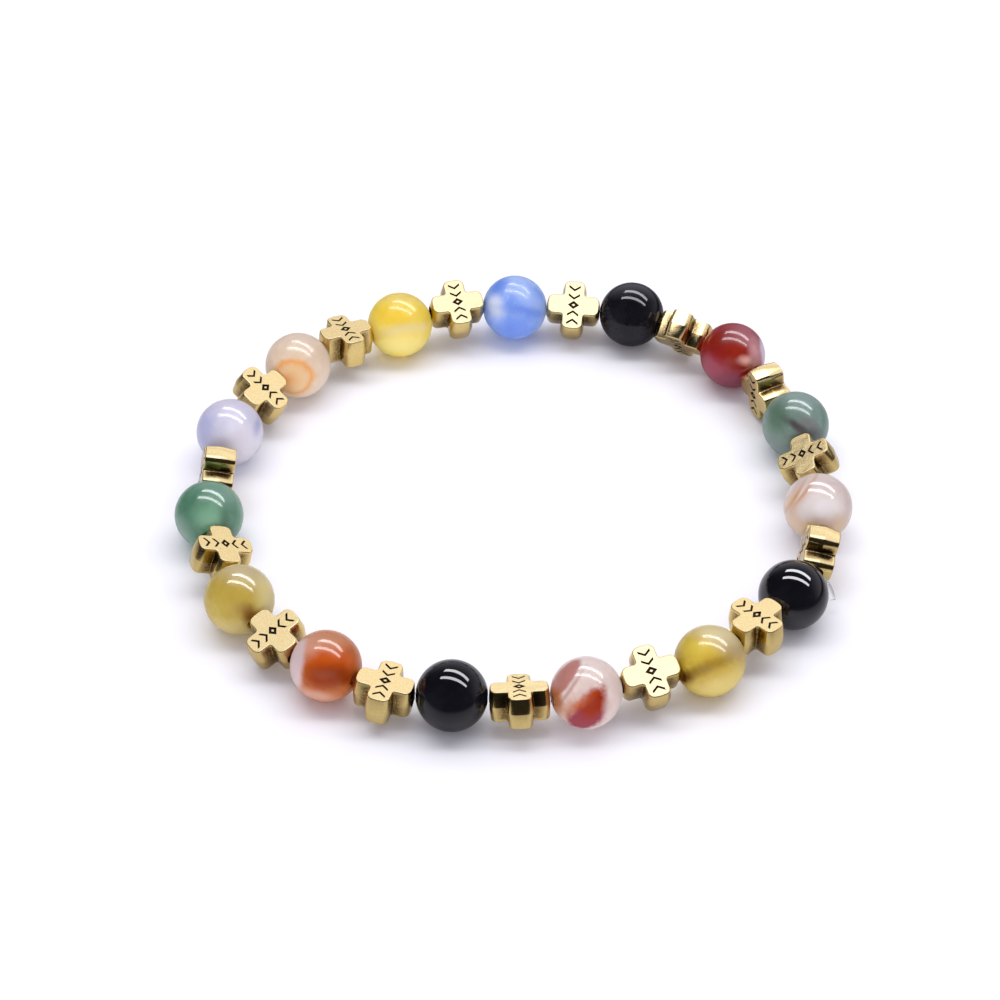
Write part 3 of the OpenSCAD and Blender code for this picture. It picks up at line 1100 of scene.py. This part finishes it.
@dataclass
class Finishes:
    """Makes the materials from the finishes, on shared effects."""

    view: Viewpoint
    clouds: Cloudiness = field(default_factory=Cloudiness)
    inclusion: Inclusion = field(default_factory=Inclusion)
    unevenness: Unevenness = field(default_factory=Unevenness)

    def start(self, name: str) -> tuple[Material, Net, Node]:
        """Starts a material.

        Args:
            name: the material's name.

        Returns:
            The material, its nodes and its Principled shader, joined to the output.
        """
        material = bpy.data.materials.new(name)
        material.use_nodes = True
        material.node_tree.nodes.clear()
        net = Net(material.node_tree)
        shader = net.add("ShaderNodeBsdfPrincipled")
        net.add("ShaderNodeOutputMaterial", {"Surface": shader.outputs[0]})
        return material, net, shader

    def stone(self, finish: StoneFinish, centre: Vector, radius: float) -> Material:
        """Makes the stone of one bead.

        Args:
            finish: its colours and patches.
            centre: the bead's middle.
            radius: its radius.

        Returns:
            The material.
        """
        material, net, shader = self.start(finish.name)
        turn = self.view.axes().transposed()
        stone = net.add("ShaderNodeMapping", {
            "Vector": net.place(), "Location": -(turn @ centre) / radius, "Rotation": turn.to_euler(),
            "Scale": (1 / radius,) * 3,
        }).outputs[0]
        colour = self.clouds.place(
            net, Stone=stone, Pale=linear(finish.pale, STONE_DEPTH), Deep=linear(finish.deep, STONE_DEPTH),
            Scale=finish.cloud_scale,
        ).outputs["Colour"]
        for patch in finish.patches:
            out = math.sqrt(max(0.0, 1 - patch.across ** 2 - patch.up ** 2))
            colour = self.inclusion.place(
                net, Stone=stone, Under=colour, Over=linear(patch.colour, STONE_DEPTH),
                Centre=(patch.across, patch.up, out * patch.sunk), Turn=math.radians(patch.turn),
                Reach=(patch.wide, patch.high, patch.depth), Soft=patch.soft, Ragged=patch.ragged,
                Wall=patch.wall, Amount=patch.amount,
            ).outputs["Colour"]
        net.feed(shader, {
            "Base Color": colour, "Normal": self.relief(net, stone, finish)[0], "Roughness": finish.haze,
            "IOR": STONE_IOR, "Transmission Weight": finish.clear, "Specular IOR Level": 0.0,
            "Subsurface Weight": finish.body, "Subsurface Radius": (1.0, 0.8, 0.7), "Subsurface Scale": 0.8 * MM,
            "Coat Weight": finish.polish, "Coat Roughness": finish.blur, "Coat IOR": STONE_IOR,
        })
        return material

    def relief(self, net: Net, place: Socket, finish: StoneFinish | GoldFinish) -> tuple[Socket, Socket]:
        """Adds a finish's slight waves and pits.

        Args:
            net: the material's nodes.
            place: where on the piece they are read.
            finish: their sizes.

        Returns:
            The bent normals, and a mask of the grime in the pits.
        """
        uneven = self.unevenness.place(
            net, Place=place, Waves=finish.waves, Pits=finish.pits, Pitting=finish.pitting,
        ).outputs
        inputs = {"Height": uneven["Height"], "Strength": finish.relief, "Distance": finish.relief_depth}
        return net.add("ShaderNodeBump", inputs).outputs[0], uneven["Grime"]

    def gold(self, finish: GoldFinish) -> Material:
        """Makes the gold plate of the crosses.

        Args:
            finish: its tones and sizes.

        Returns:
            The material.
        """
        material, net, shader = self.start("antique gold")
        normals, grime = self.relief(net, net.place(), finish)
        colour = net.mix(net.times(grime, finish.warmth), linear(finish.colour), linear(finish.warm))
        casting = net.add("ShaderNodeAttribute", attribute_name="casting").outputs["Vector"]
        parts = net.add("ShaderNodeSeparateXYZ", {0: casting}).outputs
        across, along, up = (net.math("ABSOLUTE", part) for part in parts)
        wall = net.fade(net.math("MINIMUM", across, along), *finish.notch_from)
        inner = net.fade(net.math("MAXIMUM", across, along), *finish.notch_to)
        notch = net.times(net.times(wall, inner), net.fade(up, *finish.notch_top))
        tarnish = net.times(notch, net.math("MULTIPLY_ADD", grime, *finish.blotches))
        colour = net.mix(tarnish, colour, linear(finish.dark))
        net.feed(
            shader, {"Base Color": colour, "Normal": normals, "Metallic": 1.0, "Roughness": finish.roughness},
        )
        return material

    def grained(self, finish: GrainedFinish) -> Material:
        """Makes a material of two finely mixed tones.

        Args:
            finish: its tones and settings.

        Returns:
            The material.
        """
        material, net, shader = self.start(finish.name)
        grain = net.noise(net.place(), finish.grains, 2.0, finish.detail)
        net.feed(shader, {"Base Color": net.mix(grain, *map(linear, finish.tones)), **finish.plain})
        return material

    def floor(self, finish: FloorFinish) -> Material:
        """Makes the plain pale floor, with painted shade where a polish mirrors it.

        Args:
            finish: its tones and how they fade.

        Returns:
            The material.
        """
        material, net, shader = self.start("pale floor")
        away = net.fade(net.vector("LENGTH", net.place()).outputs[1], *finish.fade)
        # Painted shade: mirrored rays see the floor darker, more so far from the middle.
        mirror_shade = net.times(net.mirrored(), net.math("MULTIPLY_ADD", away, *finish.mirror_shade_share))
        colour = net.mix(mirror_shade, linear(finish.colour), linear(finish.mirror_shade))
        net.feed(shader, {"Base Color": colour, **finish.plain})
        return material


# Studio

class Rays(Enum):
    """What a light is seen in."""

    POLISH = "polish"
    BODY = "body"


COOL = (0.96, 0.97, 1.0)
BLUISH = (0.69, 0.72, 1.0)


@dataclass
class Panel:
    """A soft light over or beside the bracelet, by places in units of its height.

    It shines straight down, or leans by some degrees: above 0 towards the back, below 0 towards the front.
    """

    name: str
    across: float
    ahead: float
    long: float
    wide: float
    radiance: float
    seen_in: Rays
    pieces: list[Piece] | None = None
    height: float = 1.6
    tint: Triple = (1.0, 1.0, 1.0)
    lean: float = 0.0
    turn: float = 0.0

    def build(self) -> None:
        """Hangs the light."""
        data = bpy.data.lights.new(self.name, "AREA")
        data.shape = "RECTANGLE"
        data.size, data.size_y = self.long * self.height, self.wide * self.height
        data.energy = self.radiance * math.pi * data.size * data.size_y
        data.color = self.tint
        light = add_object(self.name, data)
        light.location = (self.across * self.height, self.ahead * self.height, self.height)
        light.rotation_euler = (math.radians(self.lean), 0, math.radians(self.turn))
        light.visible_glossy = self.seen_in is Rays.POLISH
        light.visible_diffuse = light.visible_transmission = self.seen_in is Rays.BODY
        if self.pieces is not None:
            light.light_linking.receiver_collection = collect(f"lit by {self.name}", self.pieces)


@dataclass
class Studio:
    """A pale floor, soft lights and a bright room that the polish shows dark."""

    floor_half: float = 4.0
    floor_cells: int = 4
    glow_towards: Triple = (0.55, 0.83, 0.0)
    glow_fade: Pair = (0.1, 0.8)
    glow_height: Pair = (0.95, 0.1)
    glow_power: Pair = (0.6, 0.05)
    dark: float = 0.02
    even_power: Pair = (0.4, 0.7)
    shaded: tuple[int, ...] = (4, 7, 11)
    pool_power: float = 0.0005
    pool_place: Triple = (0, -2.2 * MM, -1.8 * MM)
    pool_angle: float = math.radians(120)
    pool_size: float = 0.8 * MM

    def floor(self, material: Material) -> Piece:
        """Lays the floor under the bracelet.

        Args:
            material: the floor's material.

        Returns:
            The floor.
        """
        bm = bmesh.new()
        bmesh.ops.create_grid(bm, x_segments=self.floor_cells, y_segments=self.floor_cells, size=self.floor_half)
        return new_piece("floor", bm, [material])

    def room(self) -> None:
        """Paints the room: an even glow for all but the polish, which sees only a soft glow behind the bracelet."""
        world = bpy.data.worlds.new("room")
        bpy.context.scene.world = world
        world.use_nodes = True
        world.node_tree.nodes.clear()
        net = Net(world.node_tree)
        way = net.add("ShaderNodeTexCoord").outputs["Generated"]
        height = net.add("ShaderNodeSeparateXYZ", {0: way}).outputs[2]
        behind = net.fade(net.vector("DOT_PRODUCT", way, self.glow_towards).outputs[1], *self.glow_fade)
        low = net.fade(height, *self.glow_height)
        glow = net.times(behind, net.math("MULTIPLY_ADD", low, *self.glow_power))
        in_polish = net.math("ADD", glow, self.dark)
        camera = net.add("ShaderNodeLightPath").outputs["Is Camera Ray"]
        mirrored = net.mirrored()
        seen = net.math("MULTIPLY_ADD", camera, *self.even_power)
        even = net.times(net.math("SUBTRACT", 1.0, mirrored), seen)
        light = net.math("MULTIPLY_ADD", mirrored, in_polish, even)
        shader = net.add("ShaderNodeBackground", {"Color": linear("f2f0fc"), "Strength": light})
        net.add("ShaderNodeOutputWorld", {"Surface": shader.outputs[0]})

    def lights(self, stones: list[Piece], crosses: list[Piece], floor: Piece) -> None:
        """Hangs the lights.

        The two strips are seen in the stones' polish, the gold mirrors wide glows all round it,
        and soft light from above and low in front falls on the rest.

        Args:
            stones: the pieces with a stone's polish.
            crosses: the gold pieces.
            floor: the floor.
        """
        open_crosses = [cross for place, cross in enumerate(crosses) if place not in self.shaded]
        gloss, body = Rays.POLISH, Rays.BODY
        for panel in (
            Panel("front strip", 0.17, 0.14, 1.73, 0.17, 16.0, gloss, stones, tint=COOL, turn=-16.8),
            Panel("rear strip", 0.34, 0.755, 1.67, 0.32, 16.0, gloss, stones, tint=COOL, turn=-20.7),
            Panel("gold ceiling", 0.4, 0.5, 3.2, 1.8, 1.6, gloss, crosses, 1.4, BLUISH),
            Panel("gold backdrop", 0.6, 4.4, 3.0, 6.0, 1.0, gloss, crosses, 1.4, BLUISH),
            Panel("gold zenith", 0.1, -0.03, 0.8, 0.73, 1.6, gloss, crosses, 1.3, (0.4, 0.5, 1.0)),
            Panel("gold horizon", 0.0, 10.0, 16.0, 1.8, 0.8, gloss, crosses, 0.6, (0.75, 0.8, 1.0), lean=-90),
            Panel("gold sheen", -0.3, 0.45, 1.3, 1.4, 2.7, gloss, crosses[1:3], 1.25, (0.72, 0.75, 1.0)),
            Panel("gold front", 0.2, -3.0, 9.0, 3.4, 0.8, gloss, open_crosses, 1.45, BLUISH),
            Panel("gold left", -3.7, 0.9, 3.4, 4.2, 0.8, gloss, open_crosses, 1.5, BLUISH),
            Panel("gold right", 4.1, 0.2, 3.4, 2.8, 0.8, gloss, open_crosses, 1.55, BLUISH),
            Panel("stone fill", 0.0, -3.6, 5.0, 1.8, 3.0, body, stones, 0.35, lean=78),
            Panel("stone key", 0.05, 0.14, 1.7, 0.2, 4.0, body, stones, 1.65),
            Panel("key", 0.12, 0.16, 1.6, 0.24, 5.0, body, crosses + [floor], 1.7),
            Panel("rear key", 0.15, 0.6, 1.6, 0.4, 1.8, body, height=1.8),
        ):
            panel.build()

    def pools(self, thread: Thread, floor: Piece) -> None:
        """Adds the coloured light that each clear stone lets through to the floor just in front of it.

        Args:
            thread: where the beads are.
            floor: the floor, the only thing that it falls on.
        """
        lit = collect("lit through the stones", [floor])
        for centre, bead in zip(thread.centres, Bead):
            finish = STONES[bead]
            if not finish.pool:
                continue
            data = bpy.data.lights.new(f"through {bead.value}", "SPOT")
            data.color = linear(finish.deep)[:3]
            data.energy = finish.pool * self.pool_power
            data.spot_size, data.spot_blend, data.shadow_soft_size = self.pool_angle, 1.0, self.pool_size
            light = add_object(data.name, data)
            light.location = centre + Vector(self.pool_place)
            light.visible_glossy = light.visible_transmission = False
            light.light_linking.receiver_collection = lit
            light.light_linking.blocker_collection = lit


# The bracelet

@dataclass
class Bracelet:
    """The whole string: stones, crosses and elastic."""

    thread: Thread
    finishes: Finishes
    polished: list[Piece] = field(default_factory=list)
    golden: list[Piece] = field(default_factory=list)

    def beads(self) -> None:
        """Makes and dresses the fifteen stones."""
        for number, bead in enumerate(Bead):
            maker = StoneBead(bead, STONES[bead])
            material = self.finishes.stone(maker.finish, self.thread.centres[number], maker.diameter / 2)
            piece = maker.build(self.thread, number, material)
            self.polished.append(piece)
            self.hand_over(piece, bead.value)

    def crosses(self) -> None:
        """Makes and dresses the fifteen crosses."""
        maker = GoldCross()
        maker.cast(self.finishes.gold(GoldFinish()), self.finishes.grained(PATINA))
        for number in range(len(TURNS)):
            piece = maker.build(self.thread, number)
            self.golden.append(piece)
            self.hand_over(piece, f"cross_{number + 1:02d}")

    def elastic(self) -> None:
        """Makes and dresses the elastic."""
        for piece in Elastic().build(self.thread, self.finishes.grained(CLEAR)):
            self.polished.append(piece)
            self.hand_over(piece, "elastic_cord")

    def hand_over(self, piece: Piece, node: str) -> None:
        """Parents a piece to the root body, hides the CAD node that it stands for, and reports it.

        Args:
            piece: the piece.
            node: the CAD node that it stands for.
        """
        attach(piece, "root")
        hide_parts(node)
        log.info("%s: %d faces, stands for %s", piece.name, len(piece.data.polygons), node)


def main() -> None:
    """Builds the bracelet, the studio and the camera."""
    logging.basicConfig(level=logging.INFO, format="%(name)s: %(message)s")
    bpy.context.scene.view_settings.view_transform = "Standard"
    view = Viewpoint()
    finishes = Finishes(view)
    bracelet = Bracelet(Thread(), finishes)
    bracelet.beads()
    bracelet.crosses()
    bracelet.elastic()
    studio = Studio()
    floor = studio.floor(finishes.floor(FloorFinish()))
    studio.room()
    studio.lights(bracelet.polished, bracelet.golden, floor)
    studio.pools(bracelet.thread, floor)
    view.build()
    log.info("studio and camera are in place")


if __name__ == "__main__":
    main()
